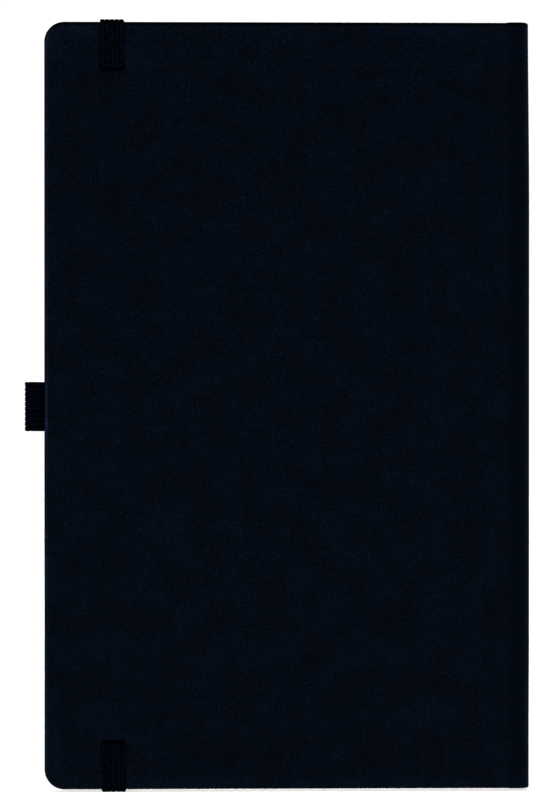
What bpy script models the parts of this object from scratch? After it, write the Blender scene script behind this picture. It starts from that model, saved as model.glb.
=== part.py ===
"""Hardcover notebook, 13 x 21 cm, standing upright on its tail edge.

+X points from the fore-edge to the spine, +Z from tail to head, -Y out of the back cover.
Text block of twelve sewn signatures, two hinged covers of board wrapped in leatherette, an
elastic closure band anchored in two slots of the back cover, a pen loop on the fore-edge and
a gusseted pocket inside the back cover. Sizes below are in millimetres.
"""

import math

import bmesh
import bpy

for old in list(bpy.data.objects):
    bpy.data.objects.remove(old, do_unlink=True)

MM = 0.001

# Whole case, with X and Z measured from about the middle of the cover
FORE_X = -66.25
SPINE_X = 66.75
COVER_H = 210.0
THICK = 16.0
CORNER_R = 5.5
SKIN = 0.45
BOARD = 2.0
GLUE = 0.05
FOLD_IN = 11.0

# Hinge between each cover and the spine
HINGE_X = 60.3
HINGE_OUT = 0.1
CREASE = 0.6
SPINE_CORNER_R = 1.1
SPINE_PROUD = 0.3

# Text block
SIGNATURES = 12
FIXED_SIGNATURES = 7
SIG_T = 0.65
SIG_PITCH = 0.7
PAGE_FORE_X = -62.75
PAGE_FOLD_X = 62.475
PAGE_H = 204.0
PAGE_R = 5.0
BLOCK_FRONT_Y = 4.7
LEAF_T = 0.1
PASTE_T = 0.15

# Elastic band, and the slots it is anchored in
BAND_X = -47.5
BAND_W = 6.5
BAND_T = 0.65
BAND_GAP = 0.1
BAND_RIBS = 5
RIB_DEPTH = 0.1
SLOT_IN = 12.4
SLOT_CLEAR = 0.3
TAB_L = 14.0

# Pen loop
LOOP_OUT = 5.4
LOOP_H = 13.5
LOOP_Z = -0.45
LOOP_T = 0.65
LOOP_RIBS = 10
LOOP_BACK_X = -63.2
LOOP_FRONT_Y = 2.2
LOOP_TAB_X = -48.0
LOOP_TAB_Y = -5.75

# Pocket inside the back cover
POCKET_FORE_X = -60.5
POCKET_SPINE_X = 48.5
POCKET_FOOT_Z = -100.0
POCKET_TOP_Z = 28.0
POCKET_T = 0.35
GUSSET_W = 10.0

# Where the middle of the cover stands in the world
ORIGIN_X = (LOOP_OUT - FORE_X - SPINE_X) / 2
ORIGIN_Z = COVER_H / 2 + BAND_GAP + BAND_T

HALF_H = COVER_H / 2
OUT_Y = THICK / 2
SKIN_IN_Y = OUT_Y - SKIN
BOARD_OUT_Y = SKIN_IN_Y - GLUE
BOARD_IN_Y = BOARD_OUT_Y - BOARD
TURN_OUT_Y = BOARD_IN_Y - GLUE
TURN_IN_Y = TURN_OUT_Y - 0.35
PASTE_OUT_Y = TURN_IN_Y - GLUE
PASTE_IN_Y = PASTE_OUT_Y - PASTE_T
BAND_IN_Y = OUT_Y + BAND_GAP
BAND_OUT_Y = BAND_IN_Y + BAND_T
BAND_END_Z = HALF_H + BAND_GAP + BAND_T
HINGE_Y = OUT_Y + HINGE_OUT


def shade(name, colour, roughness):
    """A plain Principled material."""
    material = bpy.data.materials.new(name)
    material.use_nodes = True
    principled = material.node_tree.nodes["Principled BSDF"]
    principled.inputs["Base Color"].default_value = (*colour, 1.0)
    principled.inputs["Roughness"].default_value = roughness
    material.diffuse_color = (*colour, 1.0)
    return material


NAVY = (0.010, 0.018, 0.040)
CREAM = (0.80, 0.76, 0.66)
IVORY = (0.74, 0.69, 0.58)


def pivot(name, x, y, z=0.0, parent=None):
    """An empty on a joint's axis, given in the case's own millimetres."""
    empty = bpy.data.objects.new(name, None)
    empty.empty_display_size = 0.01
    bpy.context.scene.collection.objects.link(empty)
    spot = ((x + ORIGIN_X) * MM, y * MM, (z + ORIGIN_Z) * MM)
    empty["spot"] = spot
    if parent:
        empty.parent = parent
        spot = tuple(a - b for a, b in zip(spot, parent["spot"]))
    empty.location = spot
    return empty


def add(name, verts, faces, parent=None, material=None, smooth=False):
    """A named mesh object from millimetre corners, with its origin on its parent's axis."""
    base = parent["spot"] if parent else (0.0, 0.0, 0.0)
    placed = []
    for x, y, z in verts:
        world = ((x + ORIGIN_X) * MM, y * MM, (z + ORIGIN_Z) * MM)
        placed.append(tuple(a - b for a, b in zip(world, base)))
    mesh = bpy.data.meshes.new(name)
    mesh.from_pydata(placed, [], faces)
    work = bmesh.new()
    work.from_mesh(mesh)
    bmesh.ops.recalc_face_normals(work, faces=work.faces)
    work.to_mesh(mesh)
    work.free()
    obj = bpy.data.objects.new(name, mesh)
    bpy.context.scene.collection.objects.link(obj)
    obj.parent = parent
    if material:
        mesh.materials.append(material)
    if smooth:
        mesh.shade_smooth()
        mesh.set_sharp_from_angle(angle=math.radians(35))
    return obj


def loft(name, rings, **how):
    """A closed solid through rings of corners, each ring with the same count."""
    n = len(rings[0])
    verts = [corner for ring in rings for corner in ring]
    faces = [tuple(range(n))]
    for k in range(len(rings) - 1):
        for i in range(n):
            j = (i + 1) % n
            faces.append((k * n + i, k * n + j, (k + 1) * n + j, (k + 1) * n + i))
    last = (len(rings) - 1) * n
    faces.append(tuple(reversed(range(last, last + n))))
    return add(name, verts, faces, **how)


def plate(name, outline, y0, y1, **how):
    """An outline in X and Z, given thickness along Y."""
    return loft(name, [[(x, y, z) for x, z in outline] for y in (y0, y1)], **how)


def rail(name, outline, z0, z1, **how):
    """A section in X and Y, drawn out along Z."""
    return loft(name, [[(x, y, z) for x, y in outline] for z in (z0, z1)], **how)


def box(name, x0, x1, y0, y1, z0, z1, **how):
    return plate(name, [(x0, z0), (x1, z0), (x1, z1), (x0, z1)], y0, y1, **how)


def arc(x, z, r, start, end, steps):
    """Points on an arc, with its angles in degrees."""
    points = []
    for i in range(steps + 1):
        a = math.radians(start + (end - start) * i / steps)
        points.append((x + r * math.cos(a), z + r * math.sin(a)))
    return points


def leaf_outline(x0, x1, half, r, steps=8):
    """A sheet with its two fore-edge corners rounded and its spine corners square."""
    points = [(x1, -half), (x1, half)]
    points += arc(x0 + r, half - r, r, 90, 180, steps)
    points += arc(x0 + r, -half + r, r, 180, 270, steps)
    return points


def cut(target, cutter):
    """Takes the cutter's volume out of the target."""
    cutter.hide_render = True
    cutter.display_type = "WIRE"
    difference = target.modifiers.new("cut_" + cutter.name, "BOOLEAN")
    difference.operation = "DIFFERENCE"
    difference.solver = "EXACT"
    difference.object = cutter
    return target


def join(target, extra):
    """Adds the extra volume to the target."""
    extra.hide_render = True
    extra.display_type = "WIRE"
    union = target.modifiers.new("join_" + extra.name, "BOOLEAN")
    union.operation = "UNION"
    union.solver = "EXACT"
    union.object = extra
    return target


def rib_steps(width, ribs):
    """Positions across a ribbed band, each with True on a rib's crown and False in a groove."""
    pitch = width / ribs
    steps = [(0.0, False)]
    for i in range(ribs):
        steps += [((i + 0.25) * pitch, True), ((i + 0.75) * pitch, True), ((i + 1) * pitch, False)]
    return [(p - width / 2, crown) for p, crown in steps]


def ribbed(name, outline, **how):
    """A band ribbed along its length: outline(depth) is its section in Y and Z."""
    rings = []
    for offset, crown in rib_steps(BAND_W, BAND_RIBS):
        section = outline(0.0 if crown else RIB_DEPTH)
        rings.append([(BAND_X + offset, y, z) for y, z in section])
    return loft(name, rings, **how)


leatherette = shade("leatherette_navy", NAVY, 0.55)
greyboard = shade("greyboard", (0.36, 0.33, 0.29), 0.9)
endpaper = shade("endpaper", IVORY, 0.85)
page_paper = shade("page_paper", CREAM, 0.9)
elastic = shade("elastic_navy", (0.006, 0.010, 0.024), 0.8)
mull = shade("mull_cloth", (0.78, 0.76, 0.70), 0.95)
band_cloth = shade("headband_cloth", (0.03, 0.05, 0.12), 0.8)
pocket_card = shade("pocket_card", (0.68, 0.63, 0.52), 0.85)
gusset_cloth = shade("gusset_cloth", (0.05, 0.07, 0.12), 0.9)


# Spine: the leatherette turns both corners and reaches each crease
SHOULDER_X = HINGE_X + CREASE / 2


def spine_section(offset):
    """One side of the spine's wall, moved inwards by offset."""
    r = SPINE_CORNER_R - offset
    x, y = SPINE_X - offset, OUT_Y - offset
    front = arc(x - r, y - r, r, 90, 0, 6)
    back = arc(x - r, -y + r, r, 0, -90, 6)
    return [(SHOULDER_X, y), *front, *back, (SHOULDER_X, -y)]


STIFF_OUT_X = SPINE_X - SKIN - GLUE
STIFF_IN_X = STIFF_OUT_X - 1.0
SPINE_TURN_IN_X = STIFF_IN_X - GLUE - SKIN
SPINE_TOP_Z = HALF_H + SPINE_PROUD

spine_cover = rail(
    "spine_cover",
    spine_section(0.0) + list(reversed(spine_section(SKIN))),
    -SPINE_TOP_Z,
    SPINE_TOP_Z,
    material=leatherette,
    smooth=True,
)
for end, sign in (("head", 1), ("tail", -1)):
    outer = sorted((sign * SPINE_TOP_Z, sign * (HALF_H - SKIN + GLUE)))
    flap = sorted((sign * SPINE_TOP_Z, sign * (HALF_H - FOLD_IN)))
    turn = [
        (SPINE_TURN_IN_X, flap[0 if sign > 0 else 1]),
        (SPINE_TURN_IN_X, outer[1 if sign > 0 else 0]),
        (SPINE_X - SKIN / 2, outer[1 if sign > 0 else 0]),
        (SPINE_X - SKIN / 2, outer[0 if sign > 0 else 1]),
        (STIFF_IN_X - GLUE, outer[0 if sign > 0 else 1]),
        (STIFF_IN_X - GLUE, flap[0 if sign > 0 else 1]),
    ]
    join(spine_cover, plate("spine_turn_" + end, turn, -6.6, 6.6))

box(
    "spine_stiffener",
    STIFF_IN_X,
    STIFF_OUT_X,
    -6.5,
    6.5,
    -HALF_H + SKIN,
    HALF_H - SKIN,
    material=greyboard,
)

# Text block: fold pivots run along the folded ends of the signatures
FOLD_R = SIG_T / 2
FOLD_X = PAGE_FOLD_X - FOLD_R
PAGE_HALF = PAGE_H / 2
LINING_X = PAGE_FOLD_X + 0.125

box("spine_lining", LINING_X, LINING_X + 0.3, -3.6, 4.6, -PAGE_HALF + 1, PAGE_HALF - 1, material=mull)

TAPE_X = LINING_X + 0.35
BEAD_R = 0.7
for end, sign in (("head", 1), ("tail", -1)):
    bead_x = TAPE_X + 0.2 - BEAD_R
    bead_z = PAGE_HALF + 0.1 + BEAD_R
    outline = [(TAPE_X, PAGE_HALF - 10), (TAPE_X + 0.2, PAGE_HALF - 10)]
    outline += arc(bead_x, bead_z, BEAD_R, 0, 315, 14)
    plate(
        "headband_" + end,
        [(x, sign * z) for x, z in outline],
        -3.6,
        4.6,
        material=band_cloth,
        smooth=True,
    )


def signature(name, middle_y, parent=None):
    """One folded section: rounded fore-edge corners in plan, a round fold at the spine."""
    rings = []
    for i in range(9):
        a = math.pi * i / 8
        y = middle_y - FOLD_R * math.cos(a)
        x1 = FOLD_X + FOLD_R * math.sin(a)
        rings.append([(x, y, z) for x, z in leaf_outline(PAGE_FORE_X, x1, PAGE_HALF, PAGE_R)])
    return loft(name, rings, parent=parent, material=page_paper)


FIRST_Y = BLOCK_FRONT_Y - FOLD_R
for number in range(1, SIGNATURES + 1):
    name = f"signature_{number:02d}"
    middle = FIRST_Y - SIG_PITCH * (number - 1)
    axis = None
    if number > FIXED_SIGNATURES:
        axis = pivot(name + "_pivot", FOLD_X, middle)
        last_axis = axis
    signature(name, middle, axis)

# Flyleaves, the free halves of the endpapers
plate(
    "front_flyleaf",
    leaf_outline(PAGE_FORE_X, 61.9, PAGE_HALF, PAGE_R),
    BLOCK_FRONT_Y + 0.05,
    BLOCK_FRONT_Y + 0.05 + LEAF_T,
    material=endpaper,
)
BLOCK_BACK_Y = FIRST_Y - SIG_PITCH * (SIGNATURES - 1) - FOLD_R
FLY_X = 57.5
fly_y = BLOCK_BACK_Y - 0.15
fly_axis = pivot("back_flyleaf_pivot", FLY_X, fly_y, parent=last_axis)
plate(
    "back_flyleaf",
    leaf_outline(PAGE_FORE_X, FLY_X, PAGE_HALF, PAGE_R),
    fly_y - LEAF_T / 2,
    fly_y + LEAF_T / 2,
    parent=fly_axis,
    material=endpaper,
)

# Covers: side is +1 for the front and -1 for the back
COVER_END_X = HINGE_X - CREASE / 2


def slab_between(name, outline, y0, y1, side, **how):
    low, high = sorted((side * y0, side * y1))
    return plate(name, outline, low, high, **how)


def cover_skin(name, side, axis):
    """Leatherette over the board's outer face, its three free edges and a strip inside."""
    skin = slab_between(
        name,
        leaf_outline(FORE_X, COVER_END_X, HALF_H, CORNER_R),
        TURN_IN_Y,
        OUT_Y,
        side,
        parent=axis,
        material=leatherette,
        smooth=True,
    )
    hollow = slab_between(
        name + "_hollow",
        leaf_outline(FORE_X + SKIN, COVER_END_X + 5, HALF_H - SKIN, CORNER_R - SKIN),
        TURN_OUT_Y,
        SKIN_IN_Y,
        side,
        parent=axis,
    )
    window = slab_between(
        name + "_window",
        leaf_outline(FORE_X + FOLD_IN, COVER_END_X + 5, HALF_H - FOLD_IN, 2.0),
        TURN_IN_Y - 1,
        TURN_OUT_Y + 0.5,
        side,
        parent=axis,
    )
    return cut(cut(skin, hollow), window)


def cover_board(name, side, axis):
    gap = SKIN + GLUE
    outline = leaf_outline(FORE_X + gap, COVER_END_X - 0.05, HALF_H - gap, CORNER_R - gap)
    return slab_between(name, outline, BOARD_IN_Y, BOARD_OUT_Y, side, parent=axis, material=greyboard)


def pastedown(name, side, axis):
    outline = leaf_outline(FORE_X + 3.4, COVER_END_X - 0.5, HALF_H - 3.4, 3.2)
    return slab_between(name, outline, PASTE_IN_Y, PASTE_OUT_Y, side, parent=axis, material=endpaper)


front = pivot("front_cover_pivot", HINGE_X, HINGE_Y)
cover_skin("front_cover_skin", 1, front)
cover_board("front_board", 1, front)
pastedown("front_pastedown", 1, front)

back = pivot("back_cover_pivot", HINGE_X, -HINGE_Y)
back_skin = cover_skin("back_cover_skin", -1, back)
back_board = cover_board("back_board", -1, back)
pastedown("back_pastedown", -1, back)

# Slots of the elastic band: each runs through leatherette and board to a bed for its tab
SLOT_Z0 = HALF_H - SLOT_IN - BAND_T - SLOT_CLEAR
SLOT_Z1 = HALF_H - SLOT_IN + SLOT_CLEAR
SLOT_HALF = BAND_W / 2 + SLOT_CLEAR
TAB_DEEP_Y = -(BOARD_IN_Y + GLUE + BAND_T)
TAB_Z = HALF_H - SLOT_IN - TAB_L
for end, sign in (("head", 1), ("tail", -1)):
    z0, z1 = sorted((sign * SLOT_Z0, sign * SLOT_Z1))
    slot = box(
        "slot_" + end,
        BAND_X - SLOT_HALF,
        BAND_X + SLOT_HALF,
        -OUT_Y - 1,
        -TURN_IN_Y + 1,
        z0,
        z1,
        parent=back,
    )
    cut(back_skin, slot)
    cut(back_board, slot)
    z0, z1 = sorted((sign * (TAB_Z - 0.5), sign * (SLOT_Z1 - 0.1)))
    bed = box(
        "tab_bed_" + end,
        BAND_X - SLOT_HALF,
        BAND_X + SLOT_HALF,
        TAB_DEEP_Y - GLUE,
        -TURN_IN_Y,
        z0,
        z1,
        parent=back,
    )
    cut(back_board, bed)

LOOP_HALF = LOOP_H / 2
loop_bed = box(
    "loop_bed",
    FORE_X - 1,
    LOOP_TAB_X + 0.3,
    LOOP_TAB_Y - GLUE,
    -TURN_IN_Y + 1,
    LOOP_Z - LOOP_HALF - 0.3,
    LOOP_Z + LOOP_HALF + 0.3,
    parent=back,
)
cut(back_board, loop_bed)
cut(back_skin, loop_bed)


def anchor_outline(depth, sign):
    """Stub on the cover, the turn down through the slot, and the tab behind the board."""
    outer = -(BAND_OUT_Y - depth)
    end, slot = BAND_END_Z - depth, HALF_H - SLOT_IN
    points = [
        (-BAND_IN_Y, end),
        (-BAND_IN_Y, slot),
        (TAB_DEEP_Y + BAND_T, slot),
        (TAB_DEEP_Y + BAND_T, slot - TAB_L),
        (TAB_DEEP_Y, slot - TAB_L),
        (TAB_DEEP_Y, slot - BAND_T),
        (outer + 0.35, slot - BAND_T),
        (outer, slot - BAND_T + 0.35),
        (outer, end - 0.35),
        (outer + 0.35, end),
    ]
    return [(y, sign * z) for y, z in points]


for end, sign in (("head", 1), ("tail", -1)):
    ribbed(
        "elastic_anchor_" + end,
        lambda depth, sign=sign: anchor_outline(depth, sign),
        parent=back,
        material=elastic,
    )

# The rest of the band swings off on its own axis, which runs down the outside of the back cover
SWING_Y = -(BAND_IN_Y + BAND_T / 2)
swing = pivot("elastic_swing_pivot", BAND_X, SWING_Y, parent=back)
for end, sign in (("head", 1), ("tail", -1)):
    half = BAND_IN_Y - 0.05

    def leg_outline(depth, sign=sign, half=half):
        inner, outer = sign * (HALF_H + BAND_GAP), sign * (BAND_END_Z - depth)
        return [(-half, inner), (half, inner), (half, outer), (-half, outer)]

    ribbed("elastic_leg_" + end, leg_outline, parent=swing, material=elastic)


def strap_outline(depth):
    outer, end = BAND_OUT_Y - depth, BAND_END_Z - depth
    return [
        (BAND_IN_Y, -end),
        (BAND_IN_Y, end),
        (outer - 0.35, end),
        (outer, end - 0.35),
        (outer, 0.35 - end),
        (outer - 0.35, -end),
    ]


lift = pivot("elastic_lift_pivot", BAND_X, SWING_Y, parent=swing)
ribbed("elastic_strap", strap_outline, parent=lift, material=elastic)


def loop_outline(depth):
    """Ring and tab of the pen loop, in X and Y."""
    left, right = FORE_X - LOOP_OUT + depth, LOOP_BACK_X
    low, high, r = LOOP_TAB_Y, LOOP_FRONT_Y - depth, 2.6
    points = arc(right - 1.2, high - 1.2, 1.2, 0, 90, 4)
    points += arc(left + r, high - r, r, 90, 180, 8)
    points += arc(left + r, low + depth + r, r, 180, 270, 8)
    points += [(FORE_X, low), (LOOP_TAB_X, low), (LOOP_TAB_X, low + LOOP_T), (right, low + LOOP_T)]
    return points


rings = []
for z, crown in rib_steps(LOOP_H, LOOP_RIBS):
    rings.append([(x, y, z + LOOP_Z) for x, y in loop_outline(0.0 if crown else RIB_DEPTH)])
pen_loop = loft("pen_loop", rings, parent=back, material=elastic)
left, right = FORE_X - LOOP_OUT + LOOP_T, LOOP_BACK_X - LOOP_T
low, high = LOOP_TAB_Y + LOOP_T, LOOP_FRONT_Y - LOOP_T
eye = arc(right - 0.8, high - 0.8, 0.8, 0, 90, 4)
eye += arc(left + 1.95, high - 1.95, 1.95, 90, 180, 8)
eye += arc(left + 1.95, low + 1.95, 1.95, 180, 270, 8)
eye += [(right, low)]
cut(pen_loop, rail("loop_eye", eye, LOOP_Z - LOOP_HALF - 1, LOOP_Z + LOOP_HALF + 1, parent=back))

# Pocket: two folded cloth gussets carry a card panel that is hinged along its foot
GUSSET_OUT_Y = -PASTE_IN_Y + GLUE
PANEL_OUT_Y = GUSSET_OUT_Y + 0.35 + GLUE


def gusset(name, edge_x, inward):
    """A strip of cloth folded once, its fold towards the middle of the pocket."""
    fold = edge_x + inward * GUSSET_W
    y0, y1, ply = GUSSET_OUT_Y, GUSSET_OUT_Y + 0.35, 0.12
    outline = [
        (edge_x, y0),
        (fold, y0),
        (fold, y1),
        (edge_x, y1),
        (edge_x, y1 - ply),
        (fold - inward * 0.3, y1 - ply),
        (fold - inward * 0.3, y0 + ply),
        (edge_x, y0 + ply),
    ]
    return rail(
        name,
        outline,
        POCKET_FOOT_Z + 0.5,
        POCKET_TOP_Z - 0.5,
        parent=back,
        material=gusset_cloth,
    )


gusset("pocket_gusset_fore", POCKET_FORE_X + 0.3, 1)
gusset("pocket_gusset_spine", POCKET_SPINE_X - 0.3, -1)

pocket = pivot(
    "pocket_pivot",
    (POCKET_FORE_X + POCKET_SPINE_X) / 2,
    PANEL_OUT_Y + POCKET_T / 2,
    POCKET_FOOT_Z,
    parent=back,
)
panel = [(POCKET_FORE_X, POCKET_FOOT_Z), (POCKET_SPINE_X, POCKET_FOOT_Z)]
panel += arc(POCKET_SPINE_X - 2, POCKET_TOP_Z - 2, 2, 0, 90, 4)
panel += arc(POCKET_FORE_X + 2, POCKET_TOP_Z - 2, 2, 90, 180, 4)
plate(
    "pocket_panel",
    panel,
    PANEL_OUT_Y,
    PANEL_OUT_Y + POCKET_T,
    parent=pocket,
    material=pocket_card,
)
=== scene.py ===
"""Hardcover notebook standing on its tail edge, seen square-on to the back cover."""

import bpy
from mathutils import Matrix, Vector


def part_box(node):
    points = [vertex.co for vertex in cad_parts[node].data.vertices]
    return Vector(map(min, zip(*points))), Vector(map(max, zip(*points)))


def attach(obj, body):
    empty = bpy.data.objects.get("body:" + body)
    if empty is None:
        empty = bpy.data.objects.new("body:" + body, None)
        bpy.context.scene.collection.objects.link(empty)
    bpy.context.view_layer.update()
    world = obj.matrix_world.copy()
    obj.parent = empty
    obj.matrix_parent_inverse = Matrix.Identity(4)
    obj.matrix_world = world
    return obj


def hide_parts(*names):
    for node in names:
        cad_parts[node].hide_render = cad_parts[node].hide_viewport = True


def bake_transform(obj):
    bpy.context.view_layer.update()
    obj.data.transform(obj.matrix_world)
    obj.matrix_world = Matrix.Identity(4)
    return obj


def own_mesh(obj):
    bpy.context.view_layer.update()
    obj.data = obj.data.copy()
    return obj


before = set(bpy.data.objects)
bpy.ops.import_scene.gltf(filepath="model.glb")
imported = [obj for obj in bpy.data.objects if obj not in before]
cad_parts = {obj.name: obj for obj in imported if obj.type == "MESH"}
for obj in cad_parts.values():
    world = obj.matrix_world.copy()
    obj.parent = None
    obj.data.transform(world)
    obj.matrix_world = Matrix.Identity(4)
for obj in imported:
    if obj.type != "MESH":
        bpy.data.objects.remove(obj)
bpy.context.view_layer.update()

import math

import bmesh
import bpy
import numpy as np
from mathutils import Vector

MM = 0.001
rng = np.random.default_rng(7)

# ---------------------------------------------------------------- the case, in millimetres about its middle
skin_lo, skin_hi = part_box("back_cover_skin")
_, spine_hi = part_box("spine_cover")
FORE = -66.25  # fore-edge of the covers
MID_X = skin_lo[0] - FORE * MM
MID_Z = (skin_lo[2] + skin_hi[2]) / 2
SPINE = (spine_hi[0] - MID_X) / MM  # outer face of the spine
HALF = (skin_hi[2] - MID_Z) / MM  # half the covers' height
OUT = -skin_lo[1] / MM  # outer face of the covers
DEEP = (skin_hi[1] - skin_lo[1]) / MM  # leatherette, board and turn-in together
HINGE_X = 60.3
CORNER_R = 5.5
EDGE_R = 0.7  # rounding of the leatherette over the board's edge
TURN = 11.0  # width of the turn-ins
TURN_R = 0.45
JOIN_X = 62.5  # where the covers' leatherette meets the spine's
SPINE_R = 1.0
SPINE_DEEP = 1.3  # leatherette, stiffener and turn-in together
SHOULDER = 0.16
SPINE_RUN = 2 * (SPINE - SPINE_R - JOIN_X) + math.pi * SPINE_R + 2 * (OUT - SHOULDER - SPINE_R)

BAND_X = -47.5
BAND_W = 6.5
BAND_Y = 8.425  # middle of the band's thickness, front and back
BAND_TOP = HALF + 0.425
BAND_R = 0.82
BAND_RIBS = 5
TAB_Z = 79.5  # inner end of the band's glued tab
TAB_Y = -5.875
LEG_Z = 92.55  # where the band goes through the board
SLOT_HALF = 3.28
SLOT_LOW, SLOT_HIGH = 91.8, 92.85
SLOT_X0, SLOT_X1 = BAND_X - SLOT_HALF, BAND_X + SLOT_HALF
SLOT_DEEP = 2.4

LOOP_W = 13.5
LOOP_RIBS = 10
loop_lo, loop_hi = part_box("pen_loop")
LOOP_Z = ((loop_lo[2] + loop_hi[2]) / 2 - MID_Z) / MM + 0.2

PAGE_FORE = -62.75
PAGE_HALF = 102.0
PAGE_CORNER = 5.0
FOLD_X = 62.15
SIG_T = 0.65


def place(points):
    """Millimetres about the middle of the case to the row's metres."""
    return np.asarray(points, float) * MM + np.array([MID_X, 0.0, MID_Z])


def spot(x, y, z):
    return tuple(place([[x, y, z]])[0])


def make(name, verts, faces, uv=None, material=None, smooth=True):
    """A mesh piece from millimetre corners. uv is in metres, one pair for each corner."""
    mesh = bpy.data.meshes.new(name)
    mesh.from_pydata([tuple(v) for v in place(verts)], [], [tuple(int(i) for i in f) for f in faces])
    if uv is not None:
        layer = mesh.uv_layers.new(name="UVMap")
        loops = np.zeros(len(mesh.loops), int)
        mesh.loops.foreach_get("vertex_index", loops)
        layer.data.foreach_set("uv", (np.asarray(uv, float)[loops] * MM).ravel())
    work = bmesh.new()
    work.from_mesh(mesh)
    bmesh.ops.recalc_face_normals(work, faces=work.faces)
    work.to_mesh(mesh)
    work.free()
    if smooth:
        mesh.shade_smooth()
    obj = bpy.data.objects.new(name, mesh)
    bpy.context.scene.collection.objects.link(obj)
    if material:
        mesh.materials.append(material)
    return obj


def smoothstep(a, b, x):
    t = np.clip((np.asarray(x, float) - a) / (b - a), 0, 1)
    return t * t * (3 - 2 * t)


# ---------------------------------------------------------------- materials
class Shader:
    """A Principled material built from nodes."""

    def __init__(self, name, colour, roughness, specular=0.3, tint=(1, 1, 1)):
        self.material = bpy.data.materials.new(name)
        self.material.use_nodes = True
        self.tree = self.material.node_tree
        self.bsdf = self.tree.nodes["Principled BSDF"]
        self.bsdf.inputs["Base Color"].default_value = (*colour, 1)
        self.bsdf.inputs["Roughness"].default_value = roughness
        self.bsdf.inputs["Specular IOR Level"].default_value = specular
        self.bsdf.inputs["Specular Tint"].default_value = (*tint, 1)

    def node(self, kind, **values):
        n = self.tree.nodes.new("ShaderNode" + kind)
        for key, value in values.items():
            if hasattr(n, key):
                setattr(n, key, value)
                continue
            numbered = key[0] == "i" and key[1:].isdigit()
            socket = n.inputs[int(key[1:]) if numbered else key.replace("_", " ")]
            if isinstance(value, bpy.types.NodeSocket):
                self.tree.links.new(value, socket)
            else:
                socket.default_value = value
        return n

    def math(self, operation, a, b=0.0, c=0.0):
        return self.node("Math", operation=operation, i0=a, i1=b, i2=c).outputs[0]

    def mix(self, factor, a, b):
        """Mix of two colours, either of them a socket or a plain colour."""
        n = self.node("Mix", data_type="RGBA")
        for index, value in ((0, factor), (6, a), (7, b)):
            if isinstance(value, bpy.types.NodeSocket):
                self.tree.links.new(value, n.inputs[index])
            else:
                n.inputs[index].default_value = value if index == 0 else (*value, 1)
        return n.outputs[2]

    def mix_value(self, factor, a, b):
        return self.node("Mix", i0=factor, i2=a, i3=b).outputs[0]

    def ramp(self, value, low, high, to_low=0.0, to_high=1.0):
        n = self.node("MapRange", Value=value, From_Min=low, From_Max=high, To_Min=to_low, To_Max=to_high)
        return n.outputs[0]

    def millimetres(self, uv=True, turn=0.0, stretch=(1, 1, 1)):
        """Surface position in millimetres, turned about its normal."""
        source = self.node("TexCoord").outputs["UV" if uv else "Object"]
        mapping = self.node("Mapping", Vector=source)
        mapping.inputs["Rotation"].default_value = (0, 0, math.radians(turn))
        mapping.inputs["Scale"].default_value = tuple(1000 * s for s in stretch)
        return mapping.outputs[0]

    def noise(self, where, size, detail=2.0):
        return self.node("TexNoise", Vector=where, Scale=1 / size, Detail=detail).outputs["Fac"]

    def cells(self, where, size, out="Distance"):
        return self.node("TexVoronoi", Vector=where, Scale=1 / size).outputs[out]

    def bands(self, where, size, distortion):
        n = self.node("TexWave", Vector=where, Scale=math.pi / 10 / size, Distortion=distortion, Detail=1.0)
        return n.outputs["Fac"]

    def link(self, socket, name):
        self.tree.links.new(socket, self.bsdf.inputs[name])

    def bump(self, height, depth_mm):
        n = self.node("Bump", Height=height, Distance=depth_mm * MM, Strength=1.0)
        self.tree.links.new(n.outputs[0], self.bsdf.inputs["Normal"])


BLUE = (0.4, 0.62, 1.0)
RIB = 1.3  # width of a rib of the elastic in its texture


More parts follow.
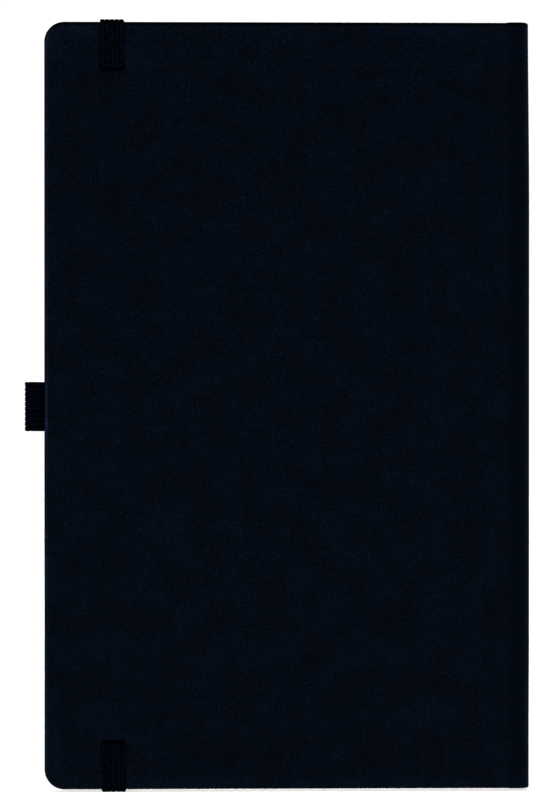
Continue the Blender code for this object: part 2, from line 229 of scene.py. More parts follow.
def leatherette():
    """Fine navy leatherette: a faint diagonal hatch broken by irregular pebbles, smoother over the spine,
    with painted highlights and painted shade along its edges, over the hinge and on the spine's corner.
    """
    s = Shader("navy_leatherette", (0.0018, 0.0034, 0.007), 0.36, 0.025, BLUE)
    flat = s.millimetres()
    hatch = s.math(
        "MULTIPLY", s.bands(s.millimetres(turn=45), 0.52, 1.5), s.bands(s.millimetres(turn=-45), 0.52, 1.5)
    )
    where = s.ramp(s.noise(flat, 9.0, 1.0), 0.45, 0.6)
    pebble = s.math("MULTIPLY", s.cells(flat, 0.42), 1.3)
    grain = s.mix_value(where, pebble, hatch)
    fine = s.noise(flat, 0.3, 3.0)
    # random tone of each small cell; its palest cells are also painted glints below
    fleck_and_glint = s.node("SeparateColor", Color=s.cells(flat, 0.34, out="Color")).outputs[0]
    split = s.node("SeparateXYZ", Vector=flat)
    u, v = split.outputs[0], split.outputs[1]
    w = s.math("MINIMUM", u, s.math("SUBTRACT", JOIN_X * 2 + SPINE_RUN, u))
    smooth = s.ramp(w, 59.6, 61.4)
    rough_part = s.math("SUBTRACT", 1.0, s.math("MULTIPLY", smooth, 0.45))

    # brightness of the dye, about 1
    level = s.math("MULTIPLY", s.math("SUBTRACT", grain, 0.42), 0.5)
    for field, middle, amount in (
        (fine, 0.5, 1.7),
        (fleck_and_glint, 0.5, 0.62),
        (s.noise(flat, 0.8, 2.0), 0.5, 1.05),
        (s.noise(flat, 2.2, 1.0), 0.5, 0.35),
    ):
        level = s.math("MULTIPLY_ADD", s.math("SUBTRACT", field, middle), amount, level)
    # painted glints: about one cell in twenty is painted much paler
    level = s.math("MULTIPLY_ADD", s.math("GREATER_THAN", fleck_and_glint, 0.95), 0.7, level)
    level = s.math("MULTIPLY", level, s.math("MULTIPLY", rough_part, 1.4))
    level = s.math("MULTIPLY_ADD", s.math("SUBTRACT", s.noise(flat, 13.0, 3.0), 0.5), 0.42, level)
    level = s.math("MAXIMUM", s.math("ADD", 1.0, level), 0.25)

    # how far in from the cover's rounded outline, and which way the outline faces
    from_fore = s.math("SUBTRACT", u, FORE)
    from_end = s.math("SUBTRACT", HALF, s.math("ABSOLUTE", v))
    nx = s.math("MAXIMUM", s.math("SUBTRACT", CORNER_R, from_fore), 0.0)
    nz = s.math("MAXIMUM", s.math("SUBTRACT", CORNER_R, from_end), 0.0)
    reach = s.math("SQRT", s.math("ADD", s.math("MULTIPLY", nx, nx), s.math("MULTIPLY", nz, nz)))
    inside = s.math("SUBTRACT", CORNER_R, reach)
    nx = s.math("POWER", s.math("DIVIDE", nx, s.math("MAXIMUM", reach, 0.01)), 4.0)
    nz = s.math("POWER", s.math("DIVIDE", nz, s.math("MAXIMUM", reach, 0.01)), 2.0)
    # painted highlight over the fore-edge's rounded edge, strongest where the pen loop's tab lies under it,
    # with painted shade on the rim's outer edge beside the loop
    by_loop = s.ramp(s.math("ABSOLUTE", s.math("SUBTRACT", v, LOOP_Z)), 7.6, 6.2)
    fore = s.math("MULTIPLY", s.ramp(inside, 1.25, 0.75), nx)
    fore = s.math("MULTIPLY", fore, s.math("MULTIPLY_ADD", by_loop, 0.9, 1.0))
    level = s.math("MULTIPLY", level, s.math("MULTIPLY_ADD", fore, 1.15, 1.0))
    # a narrow painted highlight line on the rim beside the loop
    line = s.math("MINIMUM", s.ramp(inside, 0.75, 0.6), s.ramp(inside, 0.18, 0.32))
    level = s.math("MULTIPLY", level, s.math("MULTIPLY_ADD", line, by_loop, 1.0))
    # painted shade on the rim's outermost edge beside the loop
    under = s.math("MULTIPLY", s.ramp(inside, 0.32, 0.18), by_loop)
    level = s.math("MULTIPLY", level, s.math("MULTIPLY_ADD", under, -0.7, 1.0))
    # paler within a few millimetres of the outline, more at head and tail, and paler still towards the head
    near_edge = s.math("MULTIPLY_ADD", s.ramp(inside, 4.5, 1.5), s.ramp(nz, 0, 1, 0.05, 0.25), 1.0)
    level = s.math("MULTIPLY", level, near_edge)
    level = s.math("MULTIPLY", level, s.ramp(v, 90.0, 103.5, 1.0, 1.14))
    # a little rubbed at the two rounded corners
    from_corner = s.node("CombineXYZ", i0=from_fore, i1=from_end).outputs[0]
    away = s.node("VectorMath", operation="LENGTH", i0=from_corner).outputs["Value"]
    rub = s.math("MULTIPLY", s.ramp(away, 17.0, 5.0), s.ramp(v, -1.0, 1.0, 0.16, 0.34))
    level = s.math("MULTIPLY", level, s.math("ADD", 1.0, rub))
    # painted shade on the turned edge, deepest at the head, and on the rim's outermost edge all round
    head = s.math("MULTIPLY", s.ramp(inside, 1.3, 0.55), nz)
    head = s.math("MULTIPLY", head, s.math("GREATER_THAN", v, 0.0))
    level = s.math("MULTIPLY", level, s.math("MULTIPLY_ADD", head, -0.95, 1.0))
    # painted shade on the outermost third of a millimetre all round
    level = s.math("MULTIPLY", level, s.ramp(inside, 0.3, 0.0, 1.0, 0.6))
    # painted shade over the hinge's shoulder, and painted highlight along the spine's rounded corner
    level = s.math("MULTIPLY", level, s.ramp(w, 60.0, 61.9, 1.0, 0.68))
    level = s.math("MULTIPLY", level, s.ramp(w, 63.8, 65.5, 1.0, 1.4))
    # a narrow painted highlight line on the spine's corner
    spine_highlight = s.math("MINIMUM", s.ramp(w, 65.0, 65.8), s.ramp(w, 67.1, 66.4))
    level = s.math("MULTIPLY", level, s.math("MULTIPLY_ADD", spine_highlight, 0.85, 1.0))

    tone = s.node("VectorMath", operation="SCALE", i0=(0.000715, 0.00161, 0.00375), Scale=level).outputs[0]
    s.link(tone, "Base Color")
    height = s.math("ADD", grain, s.math("MULTIPLY", fine, 0.8))
    s.bump(s.math("MULTIPLY", height, rough_part), 0.045)
    s.link(s.ramp(fine, 0.3, 0.7, 0.32, 0.42), "Roughness")
    return s.material


def webbing_material(name, dye, beads, uneven, closer=0.0):
    """Woven elastic: the two cords of each rib carry small beads of yarn, with painted highlight on the
    beads' crests and painted shade, near black, in the grooves and along each rib's crease.

    beads gives the least and most painted brightness of a bead, from trough to highlighted crest, and uneven
    the least and most brightness of the yarn. closer brings the two cords of a rib together.
    """
    s = Shader(name, dye, 0.6, 0.002, BLUE)
    flat = s.millimetres()
    split = s.node("SeparateXYZ", Vector=flat)
    across, along = split.outputs[0], split.outputs[1]
    rib = s.math("FRACT", s.math("DIVIDE", across, RIB))
    off_crown = s.math("ABSOLUTE", s.math("MULTIPLY_ADD", rib, 2.0, -1.0))
    groove = s.ramp(off_crown, 0.5 - closer, 0.78 - closer)
    crease = s.math("MULTIPLY", s.ramp(off_crown, 0.38 - closer, 0.18 - closer), 0.95)
    cord = s.math("FLOOR", s.math("DIVIDE", across, RIB / 2))
    bead = s.math("ADD", s.math("MULTIPLY", along, 2 * math.pi / 0.52), s.math("MULTIPLY", cord, 2.1))
    bead = s.math("SINE", bead)
    yarn = s.noise(s.millimetres(stretch=(1, 0.6, 1)), 0.3, 2.0)
    height = s.math("ADD", s.ramp(bead, -1, 1), s.math("MULTIPLY", yarn, 0.9))
    s.bump(height, 0.06)
    # painted highlight on each bead's crest, times the yarn's uneven tone
    level = s.math("MULTIPLY", s.ramp(bead, -0.4, 1.0, *beads), s.ramp(yarn, 0.39, 0.65, *uneven))
    # painted shade, near black, in the grooves and along each rib's crease
    dark = s.math("MULTIPLY", s.math("SUBTRACT", 1.0, groove), s.math("SUBTRACT", 1.0, crease))
    level = s.math("MULTIPLY", level, s.math("MAXIMUM", dark, 0.03))
    tone = s.node("VectorMath", operation="SCALE", i0=dye, Scale=level).outputs[0]
    s.link(tone, "Base Color")
    return s.material


def paper(name, low, high, fibre=0.5, uv=True):
    """Uncoated paper with faint fibres of the given size in millimetres."""
    s = Shader(name, high, 0.85, 0.15)
    flat = s.millimetres(uv)
    s.link(s.mix(s.ramp(s.noise(flat, fibre, 3.0), 0.3, 0.7), low, high), "Base Color")
    s.bump(s.noise(flat, 0.15, 3.0), 0.012)
    return s.material


def cloth(name, low, high, pitch, uv=False):
    """Plain weave of threads a pitch apart."""
    s = Shader(name, high, 0.9, 0.15)
    split = s.node("SeparateXYZ", Vector=s.millimetres(uv))
    x, y, z = (s.math("SINE", s.math("MULTIPLY", o, 2 * math.pi / pitch)) for o in split.outputs[:3])
    weave = s.ramp(s.math("MULTIPLY", s.math("ADD", x, y), z if not uv else 1.0), -2, 2)
    s.link(s.mix(weave, low, high), "Base Color")
    s.bump(weave, 0.05)
    return s.material


def board_material():
    """Grey millboard."""
    s = Shader("millboard", (0.3, 0.28, 0.25), 0.95, 0.1)
    flat = s.millimetres(False)
    tone = s.mix(s.ramp(s.noise(flat, 0.4, 4.0), 0.3, 0.7), (0.22, 0.2, 0.18), (0.4, 0.37, 0.33))
    s.link(tone, "Base Color")
    s.bump(s.noise(flat, 0.3, 3.0), 0.04)
    return s.material


SKIN = leatherette()
ELASTIC = webbing_material("navy_elastic", (0.0020, 0.0034, 0.0087), (0.12, 1.0), (0.1, 4.9))
LOOP_ELASTIC = webbing_material("navy_loop_elastic", (0.0014, 0.0026, 0.0072), (0.6, 1.0), (0.5, 2.6), 0.09)
PAGE = paper("cream_page", (0.70, 0.655, 0.55), (0.80, 0.755, 0.65))
ENDPAPER = paper("ivory_endpaper", (0.66, 0.61, 0.50), (0.74, 0.69, 0.58), 0.8)
ENDPAPER_CAD = paper("ivory_endpaper_flat", (0.66, 0.61, 0.50), (0.74, 0.69, 0.58), 0.8, uv=False)
CARD = paper("pocket_card_stock", (0.62, 0.57, 0.46), (0.70, 0.65, 0.54), 1.2, uv=False)
GUSSET = cloth("gusset_weave", (0.004, 0.006, 0.014), (0.02, 0.028, 0.055), 0.35, uv=True)
MULL = cloth("mull_weave", (0.35, 0.33, 0.28), (0.72, 0.70, 0.64), 0.8)
HEADBAND = cloth("headband_stripes", (0.006, 0.010, 0.026), (0.05, 0.075, 0.15), 0.9)
BOARD = board_material()

for node, material in {
    "front_board": BOARD,
    "back_board": BOARD,
    "spine_stiffener": BOARD,
    "spine_lining": MULL,
    "headband_head": HEADBAND,
    "headband_tail": HEADBAND,
    "front_pastedown": ENDPAPER_CAD,
    "back_pastedown": ENDPAPER_CAD,
    "front_flyleaf": ENDPAPER_CAD,
    "pocket_panel": CARD,
}.items():
    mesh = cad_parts[node].data
    mesh.materials.clear()
    mesh.materials.append(material)


# ---------------------------------------------------------------- leatherette of the covers and spine


def joint_depth(x):
    """How far the leatherette lies below the board's face between the board and the spine."""
    x = np.asarray(x, float)
    groove = 0.05 * np.exp(-(((x - HINGE_X) / 0.6) ** 2))
    shoulder = SHOULDER * smoothstep(59.8, 62.3, x)
    return groove + shoulder


def head_bulge(x, sign):
    """Extra height of the turned-in leatherette past the head (sign 1) or tail (sign -1) of the spine."""
    x = np.asarray(x, float)
    if sign > 0:
        return 0.16 * smoothstep(60.2, 61.2, x) * (1 - 0.9 * smoothstep(65.0, 66.2, x))
    return 0.1 * smoothstep(60.6, 61.6, x) * (1 - 0.9 * smoothstep(64.0, 66.0, x))


def fill(points, gap):
    """Sorted points with more added so that no two neighbours are more than a gap apart."""
    points = sorted(set(round(p, 4) for p in points))
    out = [points[0]]
    for a, b in zip(points, points[1:]):
        n = max(1, math.ceil((b - a) / gap(0.5 * (a + b))))
        out += [a + (b - a) * k / n for k in range(1, n + 1)]
    return out


def band_skew(x, z):
    """The band runs a quarter of a millimetre off square at each end, and its slots with it."""
    return -0.27 * z / HALF * (1 - smoothstep(4.0, 8.5, np.abs(x - BAND_X)))


def slot_sink(x, z):
    """Leatherette drawn down around a slot, sharply at its rim and softly for a few millimetres."""
    dx = np.maximum(np.abs(x - BAND_X) - SLOT_HALF, 0)
    dz = np.maximum(np.abs(np.abs(z) - (SLOT_LOW + SLOT_HIGH) / 2) - (SLOT_HIGH - SLOT_LOW) / 2, 0)
    d = np.hypot(dx, dz)
    return 0.3 * np.exp(-((d / 0.55) ** 2)) + 0.12 * np.exp(-((d / 2.6) ** 2))


def outline_point(kind, value, sign, inset):
    """A point of the cover's edge, moved in by inset. kind is corner, with an angle, or side, with an x."""
    r = max(CORNER_R - inset, 0.3)
    if kind == "corner":
        x = FORE + inset + r * (1 - math.cos(value))
        return x, sign * (HALF - inset - r + r * math.sin(value))
    first, start = FORE + CORNER_R, FORE + inset + r
    x = JOIN_X - (JOIN_X - value) * (JOIN_X - start) / (JOIN_X - first) if start > first else value
    return x, sign * (HALF - inset + float(head_bulge(value, sign)))


def quarter_round(r, count):
    """Inset and depth of points round an edge of radius r, from the outer face to the side."""
    return [(r * (1 - math.sin(a)), r * (1 - math.cos(a))) for a in np.linspace(0, math.pi / 2, count)]


def cover_wrap(name, side, slots):
    """The leatherette of one cover, from inside its turned-in edges over the board to beyond the crease."""
    corner = [("corner", math.pi / 2 * k / 12) for k in range(12)]
    fine = [-55.0, SLOT_X0 - 0.4, SLOT_X0, SLOT_X1, SLOT_X1 + 0.4, -40.0] if slots else []
    columns = [FORE + CORNER_R, 58.4, 59.0, JOIN_X, *fine]
    width_gap = lambda x: 0.45 if slots and -53 < x < -42 else 0.16 if x > 59.2 else 7.0
    path = corner + [("side", x) for x in fill(columns, width_gap)]
    top = HALF - EDGE_R
    marks = [0.0, 84.0, SLOT_LOW - 0.4, SLOT_LOW, SLOT_HIGH, SLOT_HIGH + 0.4, 99.0] if slots else [0.0]
    height_gap = lambda z: 0.45 if slots and 86 < abs(z) < 98 else 7.0
    rows = fill([s * m for m in marks for s in (-1, 1)] + [-top, top], height_gap)
    low = [outline_point(k, v, -1, EDGE_R) for k, v in path]
    high = [outline_point(k, v, 1, EDGE_R) for k, v in path]
    nx, nz = len(path), len(rows)
    verts, uv, faces = [], [], []
    for i in range(nx):
        x = high[i][0]
        for z in rows:
            t = (z + top) / (2 * top)
            zz = low[i][1] * (1 - t) + high[i][1] * t if path[i][0] == "corner" or x > 59 else z
            d = float(joint_depth(x)) + (float(slot_sink(x, zz)) if slots else 0.0)
            verts.append((x + (float(band_skew(x, zz)) if slots else 0.0), side * (OUT - d), zz))
            uv.append((x, zz))
    hole = set()
    for i in range(nx - 1):
        for j in range(nz - 1):
            x, z = 0.5 * (high[i][0] + high[i + 1][0]), 0.5 * (rows[j] + rows[j + 1])
            if slots and SLOT_X0 < x < SLOT_X1 and SLOT_LOW < abs(z) < SLOT_HIGH:
                hole.add((i, j))
                continue
            a = i * nz + j
            faces.append((a, a + nz, a + nz + 1, a + 1))
    # walls of the slots
    for i, j in hole:
        a = i * nz + j
        b = a + nz
        for di, dj, p, q in ((-1, 0, a, a + 1), (1, 0, b, b + 1), (0, -1, a, b), (0, 1, a + 1, b + 1)):
            if (i + di, j + dj) not in hole:
                n = len(verts)
                for v in (p, q):
                    verts.append((verts[v][0], verts[v][1] - side * SLOT_DEEP, verts[v][2]))
                    uv.append((uv[v][0] + 0.6, uv[v][1] + 0.6))
                faces.append((p, q, n + 1, n))
    # edge: round the board, down its side, and in under it
    rim = [(k, 1, i * nz + nz - 1) for i, k in reversed(list(enumerate(path)))]
    rim += [(path[0], 0, j) for j in range(nz - 2, 0, -1)]
    rim += [(k, -1, i * nz) for i, k in enumerate(path)]
    steps = quarter_round(EDGE_R, 7)[1:]
    turn = [(depth, inset) for inset, depth in quarter_round(TURN_R, 5)]
    previous = [index for _, _, index in rim]
    for step, (inset, depth) in enumerate(steps + turn + [(TURN, 0.0), (TURN + 0.1, -0.3)]):
        ring = []
        for (kind, value), sign, index in rim:
            x0, _, z0 = verts[index]
            narrow = float(smoothstep(59.6, 60.6, value)) if kind == "side" else 0.0
            floor = DEEP * (1 - narrow) + SPINE_DEEP * narrow
            if sign == 0:
                x, z = FORE + inset, z0
                z = float(np.clip(z, -(HALF - inset - 0.3), HALF - inset - 0.3)) if inset > CORNER_R else z
            else:
                x, z = outline_point(kind, value, sign, inset)
            sink = float(joint_depth(x0 if sign else FORE)) * (1 if step < len(steps) else 0.3)
            d = depth + sink if step < len(steps) else floor - depth
            ring.append(len(verts))
            verts.append((x, side * (OUT - d), z))
            along = math.hypot(z - z0, x - x0) + d
            out = (-1.0, 0.0) if sign == 0 else (0.0, sign)
            if kind == "corner" and sign:
                out = (-math.cos(value), sign * math.sin(value))
            uv.append((uv[index][0] + along * out[0], uv[index][1] + along * out[1]))
        for k in range(len(rim) - 1):
            faces.append((previous[k], previous[k + 1], ring[k + 1], ring[k]))
        previous = ring
    return make(name, verts, faces, uv, SKIN)


back_wrap = cover_wrap("back_cover_leatherette", -1, True)
front_wrap = cover_wrap("front_cover_leatherette", 1, False)
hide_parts("back_cover_skin")
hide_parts("front_cover_skin")
for wrap, body, side in ((back_wrap, "back_cover", -1), (front_wrap, "front_cover", 1)):
    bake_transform(wrap)


def spine_wrap():
    """Leatherette of the spine: both shoulders, two rounded corners, and its ends turned in."""
    r, d = SPINE_R, SHOULDER
    half_path = [(x, OUT - d) for x in np.linspace(JOIN_X, SPINE - r, 6)]
    c = (SPINE - r, OUT - d - r)
    round_off = np.linspace(0, math.pi / 2, 9)[1:]
    half_path += [(c[0] + r * math.sin(a), c[1] + r * math.cos(a)) for a in round_off]
    half_path += [(SPINE, y) for y in (5.0, 3.0, 1.0)]
    back = [(x, -y) for x, y in half_path]
    path = np.array(back + [(x, y) for x, y in reversed(half_path)])
    tangent = np.gradient(path, axis=0)
    tangent /= np.linalg.norm(tangent, axis=1)[:, None]
    inward = np.stack([-tangent[:, 1], tangent[:, 0]], 1)
    run = np.concatenate([[0], np.cumsum(np.linalg.norm(np.diff(path, axis=0), axis=1))])
    edge = quarter_round(EDGE_R, 7) + [(0.15, 1.1), (TURN_R, SPINE_DEEP), (TURN, SPINE_DEEP)]
    middle = fill([-(HALF - EDGE_R) + 6, HALF - EDGE_R - 6], lambda z: 7.0)
    verts, uv = [], []
    for (px, py), n, s in zip(path, inward, run):
        column = []
        top = HALF + float(head_bulge(px, 1))
        low = HALF + float(head_bulge(px, -1))
        for inset, depth in reversed(edge):
            column.append((depth, top - inset))
        column += [(0.0, z) for z in reversed(middle)]
        for inset, depth in edge:
            column.append((depth, -(low - inset)))
        last = None
        v = EDGE_R - top - sum(math.dist(a, b) for a, b in zip(column, column[1 : len(edge)]))
        for depth, z in column:
            bow = 0.36 * float(smoothstep(55.0, 108.0, z)) + 0.1 * float(smoothstep(-60.0, -95.0, z))
            tuck = bow * float(smoothstep(62.5, 66.0, px))
            verts.append((px + n[0] * depth - tuck, py + n[1] * depth, z))
            if last:
                v += math.dist((depth, z), last)
            last = (depth, z)
            uv.append((JOIN_X + s, -v))
    m = len(column)
    faces = []
    for i in range(len(path) - 1):
        for j in range(m - 1):
            a = i * m + j
            faces.append((a, a + 1, a + m + 1, a + m))
    return make("spine_leatherette", verts, faces, uv, SKIN)


spine = spine_wrap()
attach(spine, "spine_and_block")
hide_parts("spine_cover")


# ---------------------------------------------------------------- woven elastic
def rounded_path(points, radii, step=0.18):
    """A polyline with its inner corners rounded, sampled finely on the bends."""
    points = [np.array(p, float) for p in points]
    out = [points[0]]
    for k in range(1, len(points) - 1):
        a, b, c = points[k - 1], points[k], points[k + 1]
        u, v = (a - b) / np.linalg.norm(a - b), (c - b) / np.linalg.norm(c - b)
        angle = math.acos(float(np.clip(u @ v, -1, 1)))
        r = radii[k - 1]
        cut = r / math.tan(angle / 2)
        centre = b + (u + v) / np.linalg.norm(u + v) * r / math.sin(angle / 2)
        p0, p1 = b + u * cut, b + v * cut
        a0, a1 = math.atan2(*(p0 - centre)[::-1]), math.atan2(*(p1 - centre)[::-1])
        sweep = (a1 - a0 + math.pi) % (2 * math.pi) - math.pi
        n = max(4, int(abs(sweep) * r / step))
        for t in range(n + 1):
            g = a0 + sweep * t / n
            out.append(centre + r * np.array([math.cos(g), math.sin(g)]))
    out.append(points[-1])
    dense = [out[0]]
    for p in out[1:]:
        gap = np.linalg.norm(p - dense[-1])
        n = max(1, int(gap / 3.0))
        dense += [dense[-1] + (p - dense[-1]) * k / n for k in range(1, n + 1)] if gap > 1e-6 else []
    return np.array(dense)


def rib_height(u, width, ribs):
    """Surface of ribbed webbing at u across it: 1 on a crown, 0 in a groove, with a crease along each rib."""
    f = (u + width / 2) / (width / ribs) % 1.0
    dome = np.sqrt(np.clip(1 - np.abs(2 * f - 1) ** 2.2, 0, 1))
    crease = 0.4 * np.exp(-(((f - 0.5) / 0.09) ** 2))
    return dome - crease * dome


def webbing(name, path, put, width, ribs, thick=0.65, relief=0.26, material=None):
    """Ribbed band swept along a path in a plane. put(a, b, u) places the path's point a, b at u across it."""
    tangent = np.gradient(path, axis=0)
    tangent /= np.linalg.norm(tangent, axis=1)[:, None]
    normal = np.stack([-tangent[:, 1], tangent[:, 0]], 1)
    run = np.concatenate([[0], np.cumsum(np.linalg.norm(np.diff(path, axis=0), axis=1))])
    us = np.linspace(-width / 2, width / 2, ribs * 10 + 1)
    h = rib_height(us, width, ribs)
    ends = np.clip((width / 2 - np.abs(us)) / 0.25, 0, 1) ** 0.5
    half = (thick / 2 - relief + relief * h) * (0.35 + 0.65 * ends)
    wobble = 0.03 * np.sin(run * 2.1 + 0.5) + 0.02 * np.sin(run * 5.3)
    verts, uv = [], []
    for p, n, s, w in zip(path, normal, run, wobble):
        for sign in (1, -1):
            for u, t in zip(us[::sign], half[::sign]):
                a, b = p + n * sign * t
                verts.append(put(a, b, u + w * (1 if abs(u) > width / 2 - 0.7 else 0.3)))
                uv.append(((u / width * ribs + ribs / 2) * RIB, s))
    m = 2 * len(us)
    faces = []
    for i in range(len(path) - 1):
        for j in range(m):
            k = (j + 1) % m
            faces.append((i * m + j, i * m + k, (i + 1) * m + k, (i + 1) * m + j))
    for i in (0, len(path) - 1):
        n = len(verts)
        verts += verts[i * m : (i + 1) * m]
        uv += uv[i * m : (i + 1) * m]
        for j in range(m // 2 - 1):
            faces.append((n + j, n + j + 1, n + m - 2 - j, n + m - 1 - j))
    return make(name, verts, faces, uv, material or ELASTIC)


def across_band(a, b, u):
    """The band lies askew one way behind the book and the other way in front, as one loop wound round it."""
    lean = np.clip(-a / 7.5, -1, 1)
    return (BAND_X + u + lean * float(band_skew(BAND_X, b)), a, b)


END_Y = 7.5  # where the band's short ends over the head and tail meet its long runs
for end, sign in (("head", 1), ("tail", -1)):
    route = [(TAB_Y, TAB_Z), (TAB_Y, LEG_Z), (-BAND_Y, LEG_Z), (-BAND_Y, BAND_TOP), (-END_Y, BAND_TOP)]
    path = rounded_path([(y, sign * z) for y, z in route], [0.4, 0.45, BAND_R])
    stub = webbing("band_stub_" + end, path, across_band, BAND_W, BAND_RIBS)
    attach(stub, "back_cover")
    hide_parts("elastic_anchor_" + end)
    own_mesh(stub)

    path = rounded_path([(-END_Y, sign * BAND_TOP), (END_Y, sign * BAND_TOP)], [])
    leg = webbing("band_end_" + end, path, across_band, BAND_W, BAND_RIBS)
    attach(leg, "band_ends")
    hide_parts("elastic_leg_" + end)
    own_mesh(leg)

route = [(END_Y, BAND_TOP), (BAND_Y, BAND_TOP), (BAND_Y, -BAND_TOP), (END_Y, -BAND_TOP)]
strap = webbing("band_strap_front", rounded_path(route, [BAND_R, BAND_R]), across_band, BAND_W, BAND_RIBS)
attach(strap, "band_strap")
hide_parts("elastic_strap")
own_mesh(strap)

loop_x = (loop_lo[0] - MID_X) / MM + 0.25
loop_top = loop_hi[1] / MM - 0.33
loop_tab = loop_lo[1] / MM + 0.33
LOOP_SEAM = -63.55  # the loop's free end comes back in beside the board here
route = [(-48.5, loop_tab), (loop_x, loop_tab), (loop_x, loop_top), (LOOP_SEAM, loop_top)]
route += [(LOOP_SEAM, loop_tab + 0.62)]
path = rounded_path(route, [2.3, 2.3, 0.9])


def across_loop(a, b, u):
    return (a, b, u + LOOP_Z)


loop = webbing("pen_loop_webbing", path, across_loop, LOOP_W, LOOP_RIBS, relief=0.3, material=LOOP_ELASTIC)
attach(loop, "back_cover")
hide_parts("pen_loop")


# ---------------------------------------------------------------- signatures of folded sheets
CORNER_XS = [PAGE_FORE + PAGE_CORNER * (1 - math.cos(math.pi / 2 * k / 8)) for k in range(9)]
NEAR_FOLD = [58.5, 59.7, 60.6, 61.3, 61.8]


def page_edge(x):
    """Half height of a page at x, less at its two rounded corners."""
    d = np.clip(PAGE_FORE + PAGE_CORNER - x, 0, PAGE_CORNER)
    return PAGE_HALF - PAGE_CORNER + math.sqrt(max(PAGE_CORNER**2 - d * d, 0.0))


def signature(number):
    """Four sheets folded inside each other, each a thin strip that turns round at the fold."""
    lo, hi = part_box(f"signature_{number:02d}")
    middle = (lo[1] + hi[1]) / 2 / MM
    run = [*CORNER_XS, -40.0, 0.0, 40.0, 52.0, 55.0, 57.0, *NEAR_FOLD, FOLD_X]
    verts, uv, faces = [], [], []
    pitch = SIG_T / 8
    for k in range(4):
        r = (k + 0.5) * pitch
        shift = rng.uniform(-0.1, 0.1)
        trim = rng.uniform(-0.06, 0.06, 2)
        arc = [(FOLD_X + r * math.sin(a), r * math.cos(a)) for a in np.linspace(0, math.pi, 6)[1:-1]]
        line = [(x, r) for x in run] + arc + [(x, -r) for x in reversed(run)]
        t = 0.42 * pitch
        for step, (x, y) in enumerate(line):
            bend = 1 if step < len(run) else -1 if step >= len(run) + len(arc) else 0
            n = (0, 1) if bend == 1 else (0, -1) if bend == -1 else ((x - FOLD_X) / r, y / r)
            px = x + (shift if x < -60 else 0)
            for side in (1, -1):
                for z in (-1, 1):
                    half = page_edge(x) + trim[0 if bend >= 0 else 1]
                    verts.append((px + n[0] * t * side, middle + y + n[1] * t * side, z * half))
                    uv.append((x + 7 * number, z * half))
        base = len(verts) - 4 * len(line)
        for i in range(len(line) - 1):
            a, b = base + 4 * i, base + 4 * (i + 1)
            faces += [(a, a + 1, b + 1, b), (a + 2, b + 2, b + 3, a + 3)]
            faces += [(a, b, b + 2, a + 2), (a + 1, a + 3, b + 3, b + 1)]
        last = base + 4 * (len(line) - 1)
        faces += [(base, base + 2, base + 3, base + 1), (last, last + 1, last + 3, last + 2)]
    piece = make(f"pages_{number:02d}", verts, faces, uv, PAGE, smooth=False)
    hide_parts(f"signature_{number:02d}")
    if number <= 7:
        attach(piece, "spine_and_block")
    else:
        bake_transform(piece)


for number in range(1, 13):
    signature(number)


# ---------------------------------------------------------------- endpapers
def ribbon(name, line, half, material, thick=0.1):
    """A thin sheet drawn out in Z from a line in X and Y. half(x) is its half height."""
    line = np.array(line, float)
    tangent = np.gradient(line, axis=0)
    tangent /= np.linalg.norm(tangent, axis=1)[:, None]
    normal = np.stack([-tangent[:, 1], tangent[:, 0]], 1) * thick / 2
    verts, uv, faces = [], [], []
    for p, n in zip(line, normal):
        for side in (1, -1):
            for t in np.linspace(-1, 1, 9):
                q = p + n * side
                verts.append((q[0], q[1], t * half(p[0])))
                uv.append((p[0], t * half(p[0])))
    for i in range(len(line) - 1):
        a, b = 18 * i, 18 * (i + 1)
        for j in range(8):
            faces += [(a + j, a + j + 1, b + j + 1, b + j), (a + 9 + j, b + 9 + j, b + 10 + j, a + 10 + j)]
        faces += [(a, b, b + 9, a + 9), (a + 8, a + 17, b + 17, b + 8)]
    last = 18 * (len(line) - 1)
    for j in range(8):
        faces += [(j, j + 9, j + 10, j + 1), (last + j, last + j + 1, last + j + 10, last + j + 9)]
    return make(name, verts, faces, uv, material, smooth=False)


TIP_X = 57.5  # the flyleaf's tipped-in strip, from here to the fold, stays with the last signature
fly_y = sum(v[1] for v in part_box("back_flyleaf")) / 2 / MM
line = [(x, fly_y) for x in CORNER_XS + [-30.0, 10.0, 35.0, 45.0, 49.0, 52.0, 54.0, 55.5, 56.7, TIP_X]]
flyleaf = ribbon("back_flyleaf_sheet", line, page_edge, ENDPAPER)
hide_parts("back_flyleaf")
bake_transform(flyleaf)

line = [(x, fly_y) for x in [TIP_X, *NEAR_FOLD]]
tip = ribbon("back_flyleaf_tip", line, page_edge, ENDPAPER)
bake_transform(tip)

# the strips of endpaper that cross the joints, from the block to the boards
paste = 4.95
for side, body, inner in ((1, "front_cover", 4.8), (-1, "back_cover", fly_y)):
    line = [(61.7, inner), (61.5, inner + side * 0.03), (61.2, side * 4.5), (60.95, side * 4.86)]
    line += [(x, side * paste) for x in np.linspace(60.7, 59.3, 15)]
    strip = ribbon(f"{body}_endpaper_joint", line, lambda x: PAGE_HALF - 0.4, ENDPAPER, 0.08)
    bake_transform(strip)


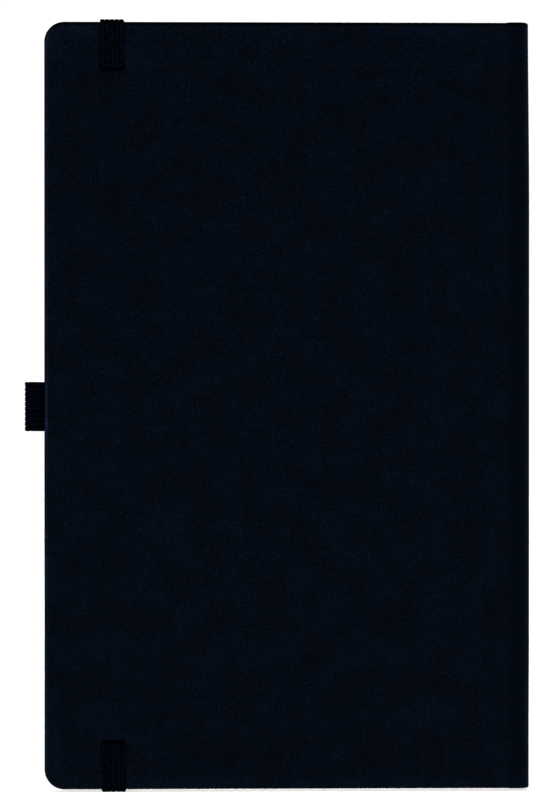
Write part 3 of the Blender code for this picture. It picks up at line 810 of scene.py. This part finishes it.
# ---------------------------------------------------------------- pocket gussets
GUSSET_DEEP = 9.6
for name, inward in (("pocket_gusset_fore", 1), ("pocket_gusset_spine", -1)):
    lo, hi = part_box(name)
    x_edge = ((lo if inward > 0 else hi)[0] - MID_X) / MM
    y0, y1 = lo[1] / MM + 0.03, hi[1] / MM - 0.02
    z0, z1 = (lo[2] - MID_Z) / MM, (hi[2] - MID_Z) / MM
    steps = np.linspace(0, 1, 8)
    fold = [(x_edge + inward * GUSSET_DEEP * t, y0 + (y1 - y0) * t / 2) for t in steps]
    fold += [(x_edge + inward * GUSSET_DEEP * (1 - t), (y0 + y1) / 2 + (y1 - y0) * t / 2) for t in steps[1:]]
    rows = np.linspace(z0, z1, 25)
    verts = [(x, y, z) for x, y in fold for z in rows]
    uv = [(4 * i, z) for i, _ in enumerate(fold) for z in rows]
    n = len(rows)
    corners = [i * n + j for i in range(len(fold) - 1) for j in range(n - 1)]
    faces = [(a, a + 1, a + n + 1, a + n) for a in corners]
    gusset = make(name + "_cloth", verts, faces, uv, GUSSET)
    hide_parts(name)
    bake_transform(gusset)

# ---------------------------------------------------------------- room, lights and camera
FLOOR = 3000.0
floor_corners = [(-FLOOR, -FLOOR, 0), (FLOOR, -FLOOR, 0), (FLOOR, FLOOR, 0), (-FLOOR, FLOOR, 0)]
floor = make("floor", floor_corners, [(0, 1, 2, 3)])
floor.location.z = -MID_Z
white = Shader("floor_white", (0.93, 0.93, 0.93), 0.9, 0.0)
plain = white.noise(white.millimetres(False), 60.0, 1.0)
white.link(white.mix(plain, (0.925, 0.925, 0.925), (0.94, 0.94, 0.94)), "Base Color")
floor.data.materials.append(white.material)

world = bpy.data.worlds.new("studio")
bpy.context.scene.world = world
world.use_nodes = True
tree = world.node_tree
background = tree.nodes["Background"]
background.inputs["Color"].default_value = (1, 1, 1, 1)
background.inputs["Strength"].default_value = 0.02
seen = tree.nodes.new("ShaderNodeBackground")
seen.inputs["Color"].default_value = (1, 1, 1, 1)
seen.inputs["Strength"].default_value = 1.1
rays = tree.nodes.new("ShaderNodeLightPath")
choose = tree.nodes.new("ShaderNodeMixShader")
tree.links.new(rays.outputs["Is Camera Ray"], choose.inputs[0])
tree.links.new(background.outputs[0], choose.inputs[1])
tree.links.new(seen.outputs[0], choose.inputs[2])
tree.links.new(choose.outputs[0], tree.nodes["World Output"].inputs[0])


def lamp(name, kind, place_at, **values):
    """A light turned towards the middle of the notebook."""
    data = bpy.data.lights.new(name, kind)
    for key, value in values.items():
        setattr(data, key, value)
    obj = bpy.data.objects.new(name, data)
    bpy.context.scene.collection.objects.link(obj)
    obj.location = place_at
    direction = Vector((0.0, 0.0, MID_Z)) - Vector(place_at)
    obj.rotation_mode = "QUATERNION"
    obj.rotation_quaternion = direction.to_track_quat("-Z", "Y")
    return obj


def shine_on(light, name, pieces):
    """Light only these pieces. Returns their collection."""
    only = bpy.data.collections.new(name)
    for piece in pieces:
        only.objects.link(piece)
    light.light_linking.receiver_collection = only
    return only


lamp("overhead", "SUN", (0.0, -0.45, 1.4), energy=0.8, angle=math.radians(50))
# the floor alone is lit to nearly white, and takes no shadow of the notebook from this light
wash = lamp("floor_wash", "SUN", (0.0, -0.2, 1.6), energy=3.2, angle=math.radians(60))
wash.light_linking.blocker_collection = shine_on(wash, "floor_only", [floor])
for side, power in ((-1, 5.2), (1, 4.6)):
    lamp("box", "AREA", (side * 0.75, -0.8, 0.26), energy=power, shape="RECTANGLE", size=0.35, size_y=0.8)
lamp("rear_box", "AREA", (0.0, 1.1, 0.7), energy=5.0, shape="RECTANGLE", size=1.2, size_y=0.6)
# a strong light from behind on the dark cover only, so that the paper isn't overexposed
rim = lamp("rim_box", "AREA", (1.0, 0.85, 0.3), energy=16.0, shape="RECTANGLE", size=0.7, size_y=0.9)
shine_on(rim, "cover_only", [back_wrap, front_wrap, spine, strap, loop])

# a long lens, a little to the fore-edge side and a little above the middle of the back cover
FRAME_MM = 221.5  # height of the view at the back cover
TURN_DEG, LIFT_DEG = -1.9, 0.43
AIM = (-3.14, -OUT, 0.34)
camera = bpy.data.cameras.new("camera")
camera.lens = 200
camera.sensor_width = 36
camera.clip_start, camera.clip_end = 0.05, 20
eye = bpy.data.objects.new("camera", camera)
bpy.context.scene.collection.objects.link(eye)
distance = FRAME_MM * camera.lens / camera.sensor_width
turn, lift = math.radians(TURN_DEG), math.radians(LIFT_DEG)
back = np.array([math.sin(turn) * math.cos(lift), -math.cos(turn) * math.cos(lift), math.sin(lift)])
eye.location = spot(*(np.array(AIM) + back * distance))
eye.rotation_euler = (math.pi / 2 - lift, 0, turn)
bpy.context.scene.camera = eye
bpy.context.scene.view_settings.view_transform = "Standard"
